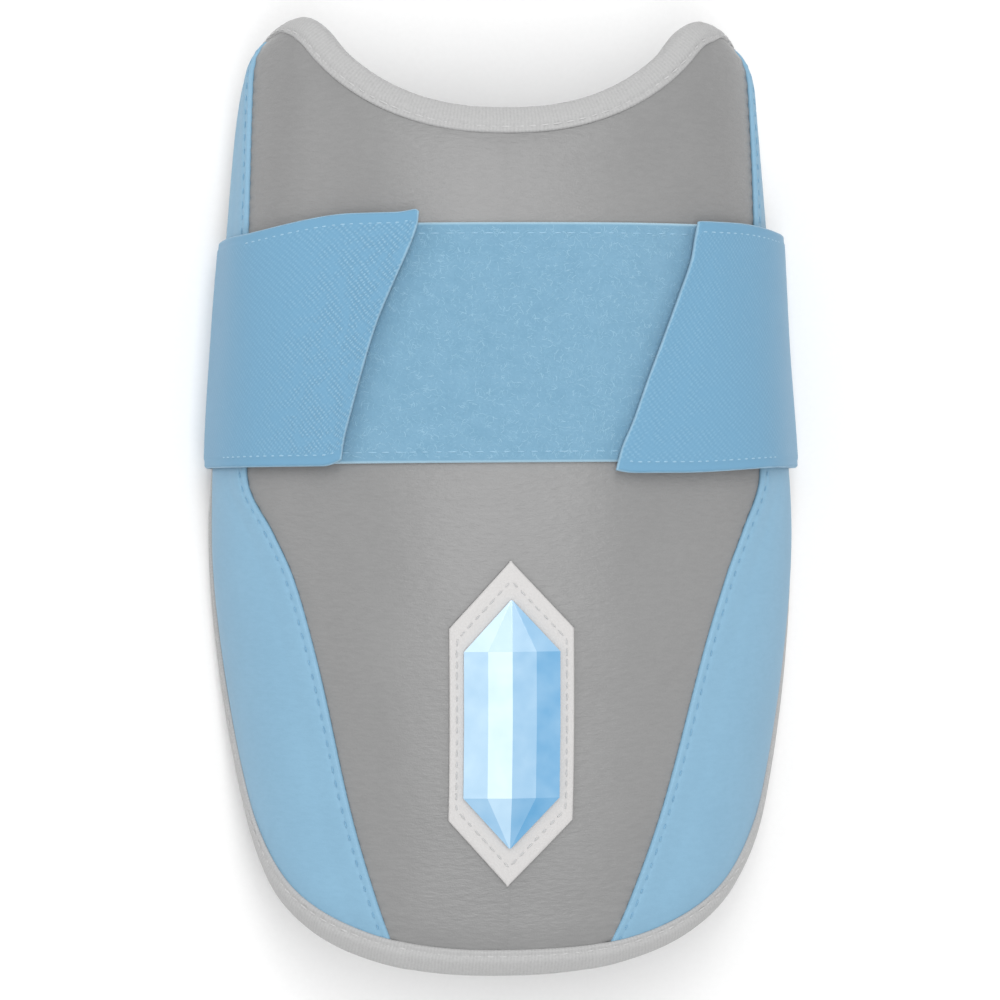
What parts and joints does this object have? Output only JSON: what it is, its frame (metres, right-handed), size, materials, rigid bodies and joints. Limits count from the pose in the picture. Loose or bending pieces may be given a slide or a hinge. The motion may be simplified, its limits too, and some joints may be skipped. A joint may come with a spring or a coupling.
{
  "type": "elbow guard",
  "caption": "Padded arched elbow guard with sewn grey and blue panels, a taped edge and a wide elastic strap that fastens over its front.",
  "frame": {"origin": "on the floor under the middle of the part's box, on the outer face of the strap's back", "axes": "+X across the arm, to the right seen from the front; +Y along the arm to the scooped end; +Z out of the padded front"},
  "size_m": [0.15, 0.2334, 0.0625],
  "materials": {
    "foam": "dark grey closed-cell foam with a fine knit face",
    "cover_grey": "grey coated fabric with a fine leather grain",
    "cover_blue": "pale blue smooth coated fabric",
    "binding": "light grey ribbed tape",
    "loop_pile": "pale blue brushed loop pile",
    "hook": "pale blue moulded hook tape",
    "elastic": "pale blue woven elastic with a fine twill",
    "inlay": "ice blue glossy facets"
  },
  "bodies": {
    "root": {"pad_core": "foam", "front_panel": "cover_grey", "side_panel_left": "cover_blue", "side_panel_right": "cover_blue", "edge_binding": "binding", "loop_patch": "loop_pile", "hook_tab_left": "hook", "hook_tab_right": "hook", "strap_band": "elastic", "badge_border": "binding", "badge_inlay": "inlay"}
  },
  "joints": []
}
